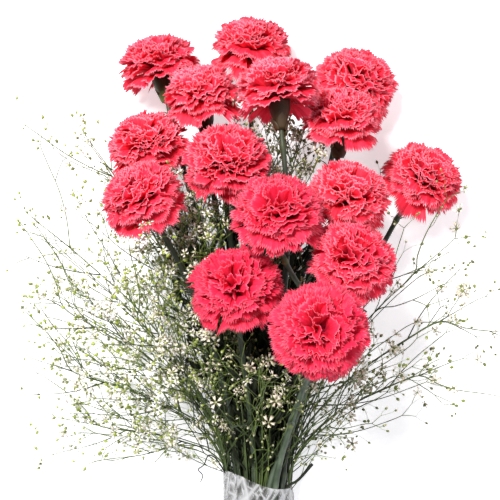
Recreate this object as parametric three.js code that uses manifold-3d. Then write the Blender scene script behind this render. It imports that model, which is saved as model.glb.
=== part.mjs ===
// A bouquet of cut carnations and baby's breath, its stems gathered in a sleeve of crinkled clear
// film, lying on its back on a table. Millimetres, +Z up.
//
// While it is laid out, x runs across the bouquet, y runs from the cut ends to the flowers, z is the
// height above the table, and y = 0 is the lower edge of the sleeve's mouth. At the end everything is
// moved so that the origin is the centre of the footprint.

import * as THREE from "three";
import { mergeVertices } from "three/addons/utils/BufferGeometryUtils.js";
import Module from "manifold-3d";

const wasm = await Module();
wasm.setup();

// ---------------------------------------------------------------- driving dimensions

const BLOOM_DEPTH = 38; // a bloom from the lowest hanging petal to its crown
const BLOOM_RING = 12; // its widest ring, above the lowest petal
const CALYX_RADIUS = 9.5;
const CALYX_LENGTH = 27;
const CALYX_SEAT = 6; // how far the calyx reaches up inside the hanging petals
const RECESS_ROOM = 1.5; // round the calyx, where it sits in the bloom
const STEM_RADIUS = 2.7;
const SPRAY_STEM_RADIUS = 1.1;
const TWIG_RADIUS = 0.6;

const SLEEVE_LENGTH = 112; // the film, along the stems
const SLEEVE_MOUTH_RADIUS = 33.5; // outside, at the mouth
const SLEEVE_WAIST_RADIUS = 30.5; // outside, under the elastic band
const SLEEVE_WALL = 1.2; // several turns of film
const SLEEVE_SLANT = 17; // the mouth is this much higher on one side
const BAND_BELOW_MOUTH = 52;
const BAND_WIDTH = 7;
const BAND_WALL = 1.6;
const STEM_TAIL = 24; // bare cut ends below the sleeve

const TOUCH_GAP = 0.35; // between pieces that touch
const LOOSE_GAP = 0.8; // between stems that only lie beside each other
const FIRST_TWIG = 0.58; // the twigs' places along a spray's stem
const LAST_TWIG = 0.92;
const TWIG_SHARE = 0.21; // a twig's length against its stem's
const TWIG_TAPER = 0.5; // the twigs grow shorter towards the tip
const TWIG_LIFT = 1.1; // and turn this far up and down about the stem, in radians
const LIFT_TURN = 2.4;
const SLOT_GAP = 3.2; // between stems in the sleeve, where there is room for it

// Each carnation: where its bloom's widest ring is centred, the way it faces, and its radius.
const CARNATIONS = [
  { at: [-87, 372, 37], faces: [-0.22, 0.97, 0.02], radius: 36 },
  { at: [-6, 387, 36], faces: [0, 0.92, 0.3], radius: 35 },
  { at: [17, 341, 130], faces: [-0.06, 0.97, -0.12], radius: 36 },
  { at: [-48, 341, 82], faces: [-0.1, 0.95, 0.26], radius: 33 },
  { at: [85, 355, 30], faces: [0.3, 0.76, 0.56], radius: 39 },
  { at: [71, 322, 91], faces: [0.08, 0.94, 0.3], radius: 34 },
  { at: [-95, 299, 72], faces: [-0.26, 0.82, 0.5], radius: 36 },
  { at: [-96, 252, 126], faces: [-0.42, 0.76, 0.48], radius: 36 },
  { at: [-26, 283, 113], faces: [0.04, 0.72, 0.7], radius: 38 },
  { at: [16, 239, 165], faces: [0, 0.8, 0.58], radius: 40 },
  { at: [76, 254, 106], faces: [0.2, 0.76, 0.6], radius: 36 },
  { at: [144, 272, 44], faces: [0.44, 0.7, 0.54], radius: 36 },
  { at: [76, 201, 155], faces: [0.3, 0.68, 0.66], radius: 37 },
  { at: [-19, 179, 142], faces: [-0.06, 0.72, 0.68], radius: 41 },
  { at: [48, 147, 197], faces: [0.1, 0.32, 0.94], radius: 41 },
];

// Each spray of baby's breath: where its tip is, and how many twigs it carries.
const SPRAYS = [
  { tip: [-191, 233, 46], twigs: 5 },
  { tip: [-199, 173, 22], twigs: 5 },
  { tip: [-187, 113, 60], twigs: 5 },
  { tip: [-165, 59, 26], twigs: 5 },
  { tip: [-147, 303, 24], twigs: 4 },
  { tip: [-69, 233, 78], twigs: 5 },
  { tip: [-119, 165, 112], twigs: 5 },
  { tip: [41, 315, 40], twigs: 4 },
  { tip: [-13, 109, 118], twigs: 4 },
  { tip: [155, 209, 92], twigs: 4 },
  { tip: [183, 163, 58], twigs: 5 },
  { tip: [165, 109, 34], twigs: 5 },
  { tip: [97, 81, 84], twigs: 4 },
];

// ---------------------------------------------------------------- worked out from them

const ELLIPSE_HALF = BLOOM_DEPTH / 2;
const ELLIPSE_RAISE = ELLIPSE_HALF - BLOOM_RING; // the ellipsoid's centre, above the widest ring
const CALYX_TOP = -BLOOM_RING + CALYX_SEAT;
const CALYX_FOOT = CALYX_TOP - CALYX_LENGTH;
const AXIS_Z = SLEEVE_MOUTH_RADIUS + TOUCH_GAP; // height of the gathered stems' centre line
const CUT_END_Y = -SLEEVE_LENGTH - STEM_TAIL;
const WAIST_Y = -BAND_BELOW_MOUTH;
const LEAVE_Y = -5; // the stems run straight up to here, just inside the mouth
const NECK = 12; // the last of a stem, square to its calyx
const SLOT_REACH = SLEEVE_WAIST_RADIUS - SLEEVE_WALL - LOOSE_GAP;
const STEMS_MEET = 260; // the stems' lines would meet this far below the mouth
const GATHERED = 0.5; // and are first set this much closer together
const BLOOM_ROUNDS = 200; // of pushing blooms apart, and then stems
const SLOT_ROUNDS = 400;
const ALONG = new THREE.Vector3(0, 1, 0);
const STEM = { radius: STEM_RADIUS, sides: 8, steps: 13 };
const SPRAY_STEM = { radius: SPRAY_STEM_RADIUS, sides: 5, steps: 12 };
const TWIG = { radius: TWIG_RADIUS, sides: 4, steps: 3 };
const SLEEVE_SIDES = 24;

const petalFinish = () => new THREE.MeshStandardMaterial({ color: 0xf0566f, roughness: 0.6 });
const calyxFinish = () => new THREE.MeshStandardMaterial({ color: 0x3f4f2a, roughness: 0.55 });
const stemFinish = () => new THREE.MeshStandardMaterial({ color: 0x5d7358, roughness: 0.55 });
const sprayFinish = () => new THREE.MeshStandardMaterial({ color: 0x7b8f45, roughness: 0.6 });
const filmFinish = () => new THREE.MeshStandardMaterial({ color: 0xe6e8ea, roughness: 0.15 });
const bandFinish = () => new THREE.MeshStandardMaterial({ color: 0xc9a46a, roughness: 0.7 });

const vector = (xyz) => new THREE.Vector3(...xyz);

// ---------------------------------------------------------------- solids

// A three.js geometry as a manifold-3d solid.
function toSolid(geometry) {
  const bare = geometry.clone();
  bare.deleteAttribute("normal");
  bare.deleteAttribute("uv");
  const merged = mergeVertices(bare, 1e-3);
  return new wasm.Manifold(
    new wasm.Mesh({
      numProp: 3,
      vertProperties: new Float32Array(merged.attributes.position.array),
      triVerts: new Uint32Array(merged.index.array),
    }),
  );
}

function toGeometry(solid) {
  const mesh = solid.getMesh();
  return new THREE.BufferGeometry()
    .setAttribute("position", new THREE.BufferAttribute(mesh.vertProperties, 3))
    .setIndex(new THREE.BufferAttribute(mesh.triVerts, 1));
}

function named(name, geometry, material) {
  const mesh = new THREE.Mesh(geometry, material);
  mesh.name = name;
  return mesh;
}

// A round rod along a curve, with closed ends.
function rod(curve, { radius, sides, steps }) {
  const section = new THREE.Shape();
  for (let i = 0; i < sides; i++) {
    const angle = (2 * Math.PI * i) / sides;
    const point = [radius * Math.cos(angle), radius * Math.sin(angle)];
    if (i) section.lineTo(...point);
    else section.moveTo(...point);
  }
  return new THREE.ExtrudeGeometry(section, { steps, extrudePath: curve, bevelEnabled: false });
}

// A turned solid about the y axis, whose rows of points are pinched in and out round the axis.
function turned(profile, segments, pinch) {
  const points = profile.map(([r, y]) => new THREE.Vector2(r, y));
  const geometry = new THREE.LatheGeometry(points, segments);
  const position = geometry.getAttribute("position");
  for (let i = 0; i < position.count; i++) {
    const row = i % points.length;
    const turn = Math.floor(i / points.length) % segments;
    const scale = pinch(row, turn);
    position.setX(i, position.getX(i) * scale);
    position.setZ(i, position.getZ(i) * scale);
  }
  return geometry;
}

// A full, domed bloom: half an ellipse turned about its axis, with ruffled rows of petals and a
// recess underneath for the calyx.
function bloomGeometry(radius) {
  const rows = 7;
  const sides = 16;
  const ruffle = 0.07;
  const recess = CALYX_RADIUS + RECESS_ROOM;
  const hang = Math.asin((recess + RECESS_ROOM) / radius) - Math.PI / 2;
  const profile = [[0, CALYX_TOP + TOUCH_GAP], [recess, CALYX_TOP + TOUCH_GAP]];
  for (let i = 0; i < rows; i++) {
    const angle = hang + ((Math.PI / 2 - hang) * i) / rows;
    profile.push([radius * Math.cos(angle), ELLIPSE_RAISE + ELLIPSE_HALF * Math.sin(angle)]);
  }
  profile.push([0, ELLIPSE_RAISE + ELLIPSE_HALF]);
  const firstRuffled = 3;
  const pinch = (row, turn) => (row >= firstRuffled && (row + turn) % 2 ? 1 - ruffle : 1);
  return turned(profile, sides, pinch);
}

// A bell-shaped green cup, widest at its top.
function calyxGeometry() {
  const sides = 10;
  const bell = [[0, 0], [0.36, 0], [0.62, 0.22], [0.92, 0.55], [1, 1], [0, 1]];
  const profile = bell.map(([out, up]) => [CALYX_RADIUS * out, CALYX_FOOT + CALYX_LENGTH * up]);
  return turned(profile, sides, () => 1);
}

// The sleeve's outside radius at a height: widest at both ends, drawn in under the band.
function sleeveRadius(y) {
  const span = y > WAIST_Y ? -WAIST_Y : SLEEVE_LENGTH + WAIST_Y;
  const open = THREE.MathUtils.smoothstep(Math.abs(y - WAIST_Y), BAND_WIDTH, span);
  return SLEEVE_WAIST_RADIUS + (SLEEVE_MOUTH_RADIUS - SLEEVE_WAIST_RADIUS) * open;
}

// The film sleeve: a thin wall round the stems, drawn in at the waist, with a slanted mouth.
function sleeveGeometry() {
  const below = (WAIST_Y - SLEEVE_LENGTH) / 2;
  const heights = [-SLEEVE_LENGTH, below, WAIST_Y - BAND_WIDTH, WAIST_Y + BAND_WIDTH, WAIST_Y / 2, 0];
  const outside = heights.map((y) => new THREE.Vector2(sleeveRadius(y), y));
  const inside = outside.map(({ x, y }) => new THREE.Vector2(x - SLEEVE_WALL, y)).reverse();
  const geometry = new THREE.LatheGeometry([...outside, ...inside, outside[0]], SLEEVE_SIDES);
  const position = geometry.getAttribute("position");
  for (let i = 0; i < position.count; i++) {
    if (position.getY(i) < WAIST_Y / 2) continue;
    const across = position.getX(i) / SLEEVE_MOUTH_RADIUS;
    const share = 1 - position.getY(i) / (WAIST_Y / 2);
    position.setY(i, position.getY(i) + (SLEEVE_SLANT / 2) * (1 - across) * share);
  }
  return geometry;
}

function bandGeometry() {
  const inner = SLEEVE_WAIST_RADIUS + TOUCH_GAP;
  const corners = [
    [inner, -BAND_WIDTH / 2],
    [inner + BAND_WALL, -BAND_WIDTH / 2],
    [inner + BAND_WALL, BAND_WIDTH / 2],
    [inner, BAND_WIDTH / 2],
    [inner, -BAND_WIDTH / 2],
  ];
  const profile = corners.map(([r, y]) => new THREE.Vector2(r, y));
  return new THREE.LatheGeometry(profile, SLEEVE_SIDES);
}

// ---------------------------------------------------------------- laying the flowers out

// How far an ellipsoidal bloom reaches from its centre along a direction.
function reach(bloom, direction) {
  const along = Math.abs(direction.dot(bloom.axis));
  const across = Math.sqrt(Math.max(0, 1 - along * along));
  return Math.hypot(bloom.radius * across, ELLIPSE_HALF * along);
}

// The blooms of the table above. Any two that would press into each other move apart until they
// clear, and none sinks into the table.
function layBlooms() {
  const up = new THREE.Vector3(0, 0, 1);
  const blooms = CARNATIONS.map(({ at, faces, radius }) => {
    const axis = vector(faces).normalize();
    return { axis, radius, centre: vector(at).addScaledVector(axis, ELLIPSE_RAISE) };
  });
  for (let round = 0; round < BLOOM_ROUNDS; round++) {
    blooms.forEach((a, i) => {
      for (const b of blooms.slice(i + 1)) {
        const apart = b.centre.clone().sub(a.centre);
        const direction = apart.clone().normalize();
        const wanted = reach(a, direction) + reach(b, direction) + LOOSE_GAP;
        const push = (wanted - apart.length()) / 2;
        if (push <= 0) continue;
        a.centre.addScaledVector(direction, -push);
        b.centre.addScaledVector(direction, push);
      }
      a.centre.z = Math.max(a.centre.z, reach(a, up));
    });
  }
  for (const bloom of blooms) {
    bloom.ring = bloom.centre.clone().addScaledVector(bloom.axis, -ELLIPSE_RAISE);
    bloom.foot = bloom.ring.clone().addScaledVector(bloom.axis, CALYX_FOOT - TOUCH_GAP);
  }
  return blooms;
}

// Where each stem lies in the sleeve: it starts on the side that it leads to, the whole bundle is
// centred, and the stems then push each other apart inside the sleeve's waist.
function laySlots(ends, radii) {
  const slots = ends.map((end) => {
    const away = new THREE.Vector2(end.x, end.z - AXIS_Z).divideScalar(end.y + STEMS_MEET);
    return away.multiplyScalar(STEMS_MEET * GATHERED);
  });
  const middle = new THREE.Vector2();
  slots.forEach((slot) => middle.addScaledVector(slot, 1 / slots.length));
  slots.forEach((slot) => slot.sub(middle));
  for (let round = 0; round < SLOT_ROUNDS; round++) {
    slots.forEach((a, i) => {
      for (let j = i + 1; j < slots.length; j++) {
        const apart = slots[j].clone().sub(a);
        const push = (radii[i] + radii[j] + SLOT_GAP - apart.length()) / 2;
        if (push <= 0) continue;
        apart.normalize();
        a.addScaledVector(apart, -push);
        slots[j].addScaledVector(apart, push);
      }
      a.clampLength(0, SLOT_REACH - radii[i]);
    });
  }
  return slots;
}

// ---------------------------------------------------------------- keeping stems and twigs clear

const placed = { rods: [], blooms: [] };

function segmentDistance(point, a, b) {
  const line = new THREE.Line3(a, b);
  return line.closestPointToPoint(point, true, new THREE.Vector3()).distanceTo(point);
}

// Points along the straight chords that a rod of so many steps has in place of its curve.
function chordPoints(curve, steps) {
  const pitch = 5;
  const corners = curve.getSpacedPoints(steps);
  const points = [corners[0]];
  for (let i = 1; i < corners.length; i++) {
    const pieces = Math.ceil(corners[i].distanceTo(corners[i - 1]) / pitch);
    for (let j = 1; j <= pieces; j++) {
      points.push(corners[i - 1].clone().lerp(corners[i], j / pieces));
    }
  }
  return points;
}

// The room round a rod: the least distance from its surface to anything placed already, the sleeve
// and the table included. What it grows from is left out.
function roomAround(curve, { radius, steps }, from) {
  let room = Infinity;
  for (const point of chordPoints(curve, steps)) {
    room = Math.min(room, point.z - radius);
    if (point.y < SLEEVE_SLANT) {
      const wall = sleeveRadius(point.y) - SLEEVE_WALL;
      room = Math.min(room, wall - Math.hypot(point.x, point.z - AXIS_Z) - radius);
    }
    for (const other of placed.rods) {
      if (from.includes(other) || !other.box.containsPoint(point)) continue;
      for (let i = 1; i < other.points.length; i++) {
        const gap = segmentDistance(point, other.points[i - 1], other.points[i]);
        room = Math.min(room, gap - other.radius - radius);
      }
    }
    for (const bloom of placed.blooms) {
      if (from.includes(bloom)) continue;
      const offset = point.clone().sub(bloom.centre);
      const along = offset.dot(bloom.axis);
      const across = Math.sqrt(Math.max(0, offset.lengthSq() - along * along));
      const grown = Math.hypot(across / bloom.radius, along / ELLIPSE_HALF);
      room = Math.min(room, (grown - 1) * ELLIPSE_HALF - radius);
    }
  }
  return room;
}

function place(curve, { radius, steps }) {
  const notice = 40; // how far off a rod is still looked at
  const points = curve.getSpacedPoints(steps);
  const box = new THREE.Box3().setFromPoints(points).expandByScalar(radius + notice);
  const entry = { points, radius, box };
  placed.rods.push(entry);
  return entry;
}

// Of several curves, the first with room enough, or else the one with the most room.
function clearest(curves, form, from) {
  let best = null;
  let most = -Infinity;
  for (const curve of curves) {
    const room = roomAround(curve, form, from);
    if (room > most) [best, most] = [curve, room];
    if (room > LOOSE_GAP) break;
  }
  return best;
}

// A stem: straight through the sleeve, then in one sweep to its end. The candidates bow the sweep a
// little further each time, all the way round.
function* sweeps(slot, end, heading) {
  const widestBow = 60;
  const bowStep = 4;
  const turns = 10;
  const [leaveShare, arriveShare, leaveBow] = [0.36, 0.3, 0.5];
  const bottom = new THREE.Vector3(slot.x, CUT_END_Y, slot.y + AXIS_Z);
  const mouth = new THREE.Vector3(slot.x, LEAVE_Y, slot.y + AXIS_Z);
  const neck = end.clone().addScaledVector(heading, -NECK);
  const span = mouth.distanceTo(neck);
  for (let bow = 0; bow <= widestBow; bow += bowStep) {
    for (let turn = 0; turn < (bow ? turns : 1); turn++) {
      const angle = (Math.PI * 2 * turn) / turns;
      const aside = new THREE.Vector3(Math.cos(angle), 0, Math.sin(angle)).multiplyScalar(bow);
      const leave = mouth.clone().addScaledVector(ALONG, span * leaveShare);
      leave.addScaledVector(aside, leaveBow);
      const arrive = neck.clone().addScaledVector(heading, -span * arriveShare).add(aside);
      const route = new THREE.CurvePath();
      route.add(new THREE.LineCurve3(bottom, mouth));
      route.add(new THREE.CubicBezierCurve3(mouth, leave, arrive, neck));
      route.add(new THREE.LineCurve3(neck, end));
      yield route;
    }
  }
}

// A twig: it leaves its stem in a low arch to its own side, and turns about the stem until it has
// room. The shorter candidates come last.
function* arches(start, along, hand, lift, length) {
  const side = new THREE.Vector3().crossVectors(along, new THREE.Vector3(0, 0, hand)).normalize();
  const turns = 12;
  const bend = { along: 0.35, out: 0.4 };
  const tip = { along: 0.8, out: 0.6 };
  for (const size of [length, 0.75 * length, 0.5 * length, 0.3 * length]) {
    for (let turn = 0; turn < turns; turn++) {
      const steps = Math.ceil(turn / 2) * (turn % 2 ? -1 : 1);
      const out = side.clone().applyAxisAngle(along, lift + (steps * 2 * Math.PI) / turns);
      const [middle, end] = [bend, tip].map((share) => {
        const point = start.clone().addScaledVector(along, share.along * size);
        return point.addScaledVector(out, share.out * size);
      });
      yield new THREE.QuadraticBezierCurve3(start, middle, end);
    }
  }
}

// ---------------------------------------------------------------- the bouquet

const number = (i) => String(i + 1).padStart(2, "0");

function carnation(bloom, slot, i) {
  const head = new THREE.Group();
  head.position.copy(bloom.ring);
  head.quaternion.setFromUnitVectors(ALONG, bloom.axis);
  head.add(named(`carnation_${number(i)}_bloom`, bloomGeometry(bloom.radius), petalFinish()));
  head.add(named(`carnation_${number(i)}_calyx`, calyxGeometry(), calyxFinish()));
  const own = [bloom, bloom.calyx];
  const route = clearest(sweeps(slot, bloom.foot, bloom.axis), STEM, own);
  place(route, STEM);
  return [head, named(`carnation_${number(i)}_stem`, rod(route, STEM), stemFinish())];
}

// A spray's stem heads away from a point on the bundle's axis, a little way up from the mouth.
function sprayRoute(slot, tip) {
  const fanShare = 0.35;
  const fanPoint = new THREE.Vector3(0, tip.y * fanShare, AXIS_Z);
  return clearest(sweeps(slot, tip, tip.clone().sub(fanPoint).normalize()), SPRAY_STEM, []);
}

// The main stem with its twigs, as one solid.
function sprayGeometry(route, stem, twigs) {
  let solid = toSolid(rod(route, SPRAY_STEM));
  const length = route.getLength();
  const grown = [stem];
  for (let i = 0; i < twigs; i++) {
    const share = FIRST_TWIG + ((LAST_TWIG - FIRST_TWIG) * i) / (twigs - 1);
    const size = length * TWIG_SHARE * (1 - TWIG_TAPER * (share - FIRST_TWIG));
    const hand = i % 2 ? -1 : 1;
    const lift = TWIG_LIFT * Math.sin(LIFT_TURN * i);
    const [start, along] = [route.getPointAt(share), route.getTangentAt(share)];
    const twig = clearest(arches(start, along, hand, lift, size), TWIG, grown);
    grown.push(place(twig, TWIG));
    solid = solid.add(toSolid(rod(twig, TWIG)));
  }
  return toGeometry(solid);
}

const layout = new THREE.Group();
const blooms = layBlooms();
for (const bloom of blooms) {
  const top = bloom.ring.clone().addScaledVector(bloom.axis, CALYX_TOP);
  bloom.calyx = place(new THREE.LineCurve3(bloom.foot, top), { radius: CALYX_RADIUS, steps: 1 });
  placed.blooms.push(bloom);
}
const tips = SPRAYS.map(({ tip }) => vector(tip));
const radii = [...blooms.map(() => STEM_RADIUS), ...tips.map(() => SPRAY_STEM_RADIUS)];
const slots = laySlots([...blooms.map((bloom) => bloom.foot), ...tips], radii);
blooms.forEach((bloom, i) => layout.add(...carnation(bloom, slots[i], i)));

const routes = tips.map((tip, i) => {
  const route = sprayRoute(slots[blooms.length + i], tip);
  return { route, stem: place(route, SPRAY_STEM) };
});
routes.forEach(({ route, stem }, i) => {
  const geometry = sprayGeometry(route, stem, SPRAYS[i].twigs);
  layout.add(named(`babys_breath_${number(i)}`, geometry, sprayFinish()));
});

const sleeve = named("film_sleeve", sleeveGeometry(), filmFinish());
sleeve.position.z = AXIS_Z;
const band = named("elastic_band", bandGeometry(), bandFinish());
band.position.set(0, WAIST_Y, AXIS_Z);
layout.add(sleeve, band);

const extent = new THREE.Box3().setFromObject(layout, true);
const centre = extent.getCenter(new THREE.Vector3());
layout.position.set(-centre.x, -centre.y, -extent.min.z);

const bouquet = new THREE.Group();
bouquet.add(layout);
export default bouquet;
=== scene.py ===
import math

import bpy
import numpy as np
from mathutils import Matrix, Vector, noise


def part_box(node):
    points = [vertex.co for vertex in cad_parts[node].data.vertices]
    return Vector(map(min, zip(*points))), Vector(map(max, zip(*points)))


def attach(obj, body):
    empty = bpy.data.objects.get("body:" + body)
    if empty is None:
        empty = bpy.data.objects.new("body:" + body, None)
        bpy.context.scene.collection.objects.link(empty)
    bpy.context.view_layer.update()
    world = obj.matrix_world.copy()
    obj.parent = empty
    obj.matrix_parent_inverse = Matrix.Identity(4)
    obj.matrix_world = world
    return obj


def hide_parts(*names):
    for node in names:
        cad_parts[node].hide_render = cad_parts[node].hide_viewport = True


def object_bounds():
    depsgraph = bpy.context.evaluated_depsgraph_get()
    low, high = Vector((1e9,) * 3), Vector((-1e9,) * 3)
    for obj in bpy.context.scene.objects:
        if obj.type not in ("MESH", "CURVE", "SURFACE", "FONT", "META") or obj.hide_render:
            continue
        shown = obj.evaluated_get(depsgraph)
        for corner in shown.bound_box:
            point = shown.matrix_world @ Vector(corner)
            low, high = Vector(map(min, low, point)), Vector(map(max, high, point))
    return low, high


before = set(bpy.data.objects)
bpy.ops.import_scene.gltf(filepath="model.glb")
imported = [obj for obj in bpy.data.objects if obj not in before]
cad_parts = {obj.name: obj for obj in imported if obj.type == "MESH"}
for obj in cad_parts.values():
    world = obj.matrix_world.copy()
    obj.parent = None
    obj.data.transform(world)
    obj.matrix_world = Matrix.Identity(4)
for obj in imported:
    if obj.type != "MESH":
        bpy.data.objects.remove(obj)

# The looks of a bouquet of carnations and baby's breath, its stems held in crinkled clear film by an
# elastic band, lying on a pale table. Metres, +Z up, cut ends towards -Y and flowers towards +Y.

CAD_BOX = [list(corner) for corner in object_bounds()]
MM = 0.001
UP = np.array([0.0, 0.0, 1.0])

# ---------------- camera

SLEEVE_LOW, SLEEVE_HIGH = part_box("film_sleeve")
AXIS_X = (SLEEVE_LOW.x + SLEEVE_HIGH.x) / 2
AXIS_Z = (SLEEVE_LOW.z + SLEEVE_HIGH.z) / 2
MOUTH_SLANT = 17 * MM  # how much further the film reaches at the high side of its mouth
VIEW_X = AXIS_X - 7 * MM
VIEW_Y = SLEEVE_LOW.y + 321.5 * MM
VIEW_LEVEL = 85 * MM  # the height above the table at which the view is VIEW_WIDTH wide
VIEW_WIDTH = 425 * MM
VIEW_DISTANCE = 1.5

lens = bpy.data.cameras.new("camera")
lens.sensor_width = 36
lens.lens = lens.sensor_width * VIEW_DISTANCE / VIEW_WIDTH
camera = bpy.data.objects.new("camera", lens)
camera.location = (VIEW_X, VIEW_Y, VIEW_LEVEL + VIEW_DISTANCE)
bpy.context.scene.collection.objects.link(camera)
bpy.context.scene.camera = camera

# ---------------- modelling helpers


def link(thing):
    bpy.context.scene.collection.objects.link(thing)


def deselect():
    bpy.ops.object.select_all(action="DESELECT")


def select(piece):
    deselect()
    piece.select_set(True)
    bpy.context.view_layer.objects.active = piece


def remove(piece):
    mesh = piece.data
    bpy.data.objects.remove(piece)
    bpy.data.meshes.remove(mesh)


def corners(mesh):
    """A mesh's vertices as rows of x, y, z."""
    flat = np.zeros(len(mesh.vertices) * 3, np.float32)
    mesh.vertices.foreach_get("co", flat)
    return flat.reshape(-1, 3).astype(float)


def taken(piece):
    """A finished model's corners and faces, to be copied. The model itself goes."""
    shape = corners(piece.data), [tuple(face.vertices) for face in piece.data.polygons]
    remove(piece)
    return shape


def apply(piece, kind, **settings):
    """Adds a modifier to a piece and applies it."""
    select(piece)
    modifier = piece.modifiers.new(kind.lower(), kind)
    for name, value in settings.items():
        setattr(modifier, name, value)
    bpy.ops.object.modifier_apply(modifier=modifier.name)


def bent_grid(columns, rows, thickness, bend):
    """A solid leaf or scale: a flat grid whose points are bent. Bend gives the place for how far
    across a point is, from -1 to 1, and how far along, from 0 to 1."""
    deselect()
    bpy.ops.mesh.primitive_grid_add(x_subdivisions=columns, y_subdivisions=rows, size=2)
    piece = bpy.context.object
    for corner in piece.data.vertices:
        corner.co = bend(corner.co.x, (corner.co.y + 1) / 2)
    apply(piece, "SOLIDIFY", thickness=thickness, offset=0)
    return taken(piece)


class Build:
    """A mesh gathered shape by shape, each with a material and growth marks: how far along it a
    point is, how far across, and a number of its own."""

    def __init__(self):
        self.points, self.faces, self.marks, self.finish = [], [], [], []
        self.count = 0

    def add(self, points, faces, marks, finish=0):
        self.points.append(points)
        self.marks.append(np.broadcast_to(marks, (len(points), 3)))
        self.faces += [tuple(i + self.count for i in face) for face in faces]
        self.finish += [finish] * len(faces)
        self.count += len(points)

    def piece(self, name, materials):
        mesh = bpy.data.meshes.new(name)
        mesh.from_pydata(np.concatenate(self.points).tolist(), [], self.faces)
        grown = mesh.attributes.new("grown", "FLOAT_COLOR", "POINT")
        marks = np.concatenate(self.marks)
        colours = np.hstack([marks, np.ones((len(marks), 1))]).astype(np.float32)
        grown.data.foreach_set("color", colours.ravel())
        for finish in materials:
            mesh.materials.append(finish)
        mesh.polygons.foreach_set("material_index", self.finish)
        mesh.polygons.foreach_set("use_smooth", [True] * len(mesh.polygons))
        mesh.update()
        piece = bpy.data.objects.new(name, mesh)
        link(piece)
        return piece


def settle(piece, slot, *nodes):
    """Rides a finished piece on the bouquet, in place of the solids that it stands for."""
    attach(piece, "root")
    if nodes:
        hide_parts(*nodes)


def lift(points, level):
    """Brings points that are lower than a level up to it."""
    points[:, 2] = np.maximum(points[:, 2], level)


def marked(along, own):
    """Growth marks that don't change across."""
    return np.column_stack([along, along * 0, along * 0 + own])


def unit(vector):
    return vector / np.linalg.norm(vector)


def turning(axis, angle):
    return np.array(Matrix.Rotation(angle, 3, Vector(axis)))


def facing(axis):
    """The turn that carries +Z to a direction."""
    return np.array(Vector((0, 0, 1)).rotation_difference(Vector(axis)).to_matrix())


def smoothstep(value, low, high):
    share = np.clip((value - low) / (high - low), 0, 1)
    return share * share * (3 - 2 * share)


def blend(low, high, share):
    return low + (high - low) * share


# ---------------- finishes


def growth_group():
    """Growth marks as masks, with fine lengthwise veins and a soft mottle."""
    tree = bpy.data.node_groups.new("growth", "ShaderNodeTree")
    for way, names in (("INPUT", ("Vein Count", "Mottle Scale")),
                       ("OUTPUT", ("Along", "Across", "Own", "Veins", "Mottle"))):
        for name in names:
            tree.interface.new_socket(name=name, in_out=way, socket_type="NodeSocketFloat")
    given, result = (tree.nodes.new(kind) for kind in ("NodeGroupInput", "NodeGroupOutput"))
    marks, split, spread, apart, place, veins, where, mottle = (
        tree.nodes.new("ShaderNode" + kind)
        for kind in ("Attribute", "SeparateColor", "Math", "Math", "CombineXYZ", "TexNoise",
                     "TexCoord", "TexNoise")
    )
    marks.attribute_name = "grown"
    spread.operation = apart.operation = "MULTIPLY"
    apart.inputs[1].default_value = 61.0
    veins.inputs["Scale"].default_value = 1.0
    veins.inputs["Detail"].default_value = 2.0
    mottle.inputs["Detail"].default_value = 3.0
    for source, output, goal, entry in (
        (marks, "Color", split, "Color"),
        (split, "Green", spread, 0), (given, "Vein Count", spread, 1), (split, "Blue", apart, 0),
        (spread, "Value", place, "X"), (split, "Red", place, "Y"), (apart, "Value", place, "Z"),
        (place, "Vector", veins, "Vector"), (where, "Object", mottle, "Vector"),
        (given, "Mottle Scale", mottle, "Scale"),
        (split, "Red", result, "Along"), (split, "Green", result, "Across"),
        (split, "Blue", result, "Own"), (veins, "Fac", result, "Veins"),
        (mottle, "Fac", result, "Mottle"),
    ):
        tree.links.new(source.outputs[output], goal.inputs[entry])
    return tree


GROWTH = growth_group()


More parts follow.
